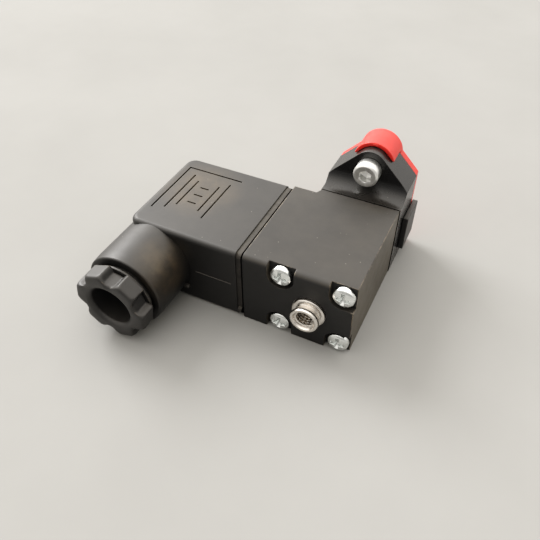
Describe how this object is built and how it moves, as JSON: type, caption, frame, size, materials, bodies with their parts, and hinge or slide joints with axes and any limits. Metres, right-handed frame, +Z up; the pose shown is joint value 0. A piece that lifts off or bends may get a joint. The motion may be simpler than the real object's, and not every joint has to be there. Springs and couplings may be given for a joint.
{
  "type": "solenoid directional valve",
  "caption": "Small direct-acting solenoid pilot valve with square coil, plug-on cable connector with gland, threaded exhaust nipple and flanged base under a red protective cover.",
  "frame": {"origin": "where the solenoid axis meets the valve's mounting face", "axes": "+Y out of the mounting face along the solenoid axis, +X away from the connector, +Z up with the valve lying as it rests"},
  "size_m": [0.0679, 0.0755, 0.0347],
  "materials": {
    "black_plastic": "fine spark-eroded mould texture, glass-filled, soft sheen",
    "dark_insert": "moulded, semi-matt",
    "gasket_rubber": "brown-grey nitrile sheet, matt",
    "black_rubber": "smooth moulded nitrile",
    "brass": "turned",
    "stainless": "turned, bright",
    "nickelled_steel": "turned and nickel plated, satin",
    "zinced_steel": "bright zinc plate",
    "tinned_copper": "tin plate, semi-bright",
    "copper": "enamelled copper",
    "steel_sheet": "bare pressed steel",
    "pale_nylon": "natural nylon",
    "coil_tape": "polyester winding tape",
    "red_plastic": "coral-red moulded polyethylene, waxy satin"
  },
  "bodies": {
    "base": {"valve_base": "black_plastic", "side_key": "dark_insert", "inlet_seat": "brass", "screw_inserts": "brass", "port_o_rings": "black_rubber", "guide_tube": "stainless", "tube_o_ring": "black_rubber", "core_nipple": "nickelled_steel", "shading_ring": "copper", "return_spring": "stainless"},
    "plunger": {"plunger": "stainless", "exhaust_seal": "black_rubber", "inlet_seal": "black_rubber", "plunger_collar": "stainless"},
    "coil": {"coil_housing": "black_plastic", "flux_yoke": "steel_sheet", "coil_bobbin": "pale_nylon", "coil_winding": "copper", "coil_tape": "coil_tape", "contact_blades": "tinned_copper", "connector_insert_nut": "brass"},
    "body_screws": {"body_screws": "zinced_steel"},
    "connector": {"connector_housing": "black_plastic", "contact_insert": "dark_insert", "contact_sockets": "tinned_copper", "terminal_screws": "zinced_steel", "connector_gasket": "gasket_rubber", "screw_seal": "black_rubber", "gland_grommet": "black_rubber"},
    "connector_screw": {"connector_screw": "zinced_steel"},
    "gland_washer": {"gland_washer": "zinced_steel"},
    "gland_nut": {"gland_nut": "black_plastic"},
    "cover": {"protective_cover": "red_plastic"},
    "screw_keeper": {"screw_keeper": "pale_nylon"},
    "mounting_screw": {"mounting_screw": "zinced_steel"}
  },
  "joints": [
    {"name": "plunger_stroke", "type": "slide", "parent": "base", "child": "plunger", "axis": [0, -1, 0], "range_m": [0, 0.0012], "deforming": ["return_spring"]},
    {"name": "coil_pull_off", "type": "slide", "parent": "base", "child": "coil", "axis": [0, -1, 0], "range_m": [0, 0.036]},
    {"name": "body_screws_draw", "type": "slide", "parent": "coil", "child": "body_screws", "axis": [0, -1, 0], "range_m": [0, 0.042]},
    {"name": "connector_unplug", "type": "slide", "parent": "coil", "child": "connector", "axis": [-1, 0, 0], "range_m": [0, 0.014]},
    {"name": "connector_screw_turn", "type": "hinge", "parent": "connector", "child": "connector_screw", "pos_m": [-0.03, -0.032, 0], "axis": [-1, 0, 0], "continuous": true},
    {"name": "gland_washer_travel", "type": "slide", "parent": "connector", "child": "gland_washer", "axis": [0, -1, 0], "range_m": [0, 0.0045]},
    {"name": "gland_nut_turn", "type": "hinge", "parent": "gland_washer", "child": "gland_nut", "pos_m": [-0.04456, -0.062, 0], "axis": [0, -1, 0], "range_deg": [0, 1080]},
    {"name": "cover_pull_off", "type": "slide", "parent": "base", "child": "cover", "axis": [0, 1, 0], "range_m": [0, 0.03]},
    {"name": "mounting_screw_travel", "type": "slide", "parent": "base", "child": "screw_keeper", "axis": [0, -1, 0], "range_m": [0, 0.00315]},
    {"name": "mounting_screw_turn", "type": "hinge", "parent": "screw_keeper", "child": "mounting_screw", "pos_m": [0, -0.005, 0.0175], "axis": [0, -1, 0], "range_deg": [0, 1620]}
  ],
  "couplings": [
    {"joint": "gland_nut_turn", "follows": "gland_washer_travel", "rad_per_m": 4188.8},
    {"joint": "mounting_screw_turn", "follows": "mounting_screw_travel", "rad_per_m": 8976}
  ]
}
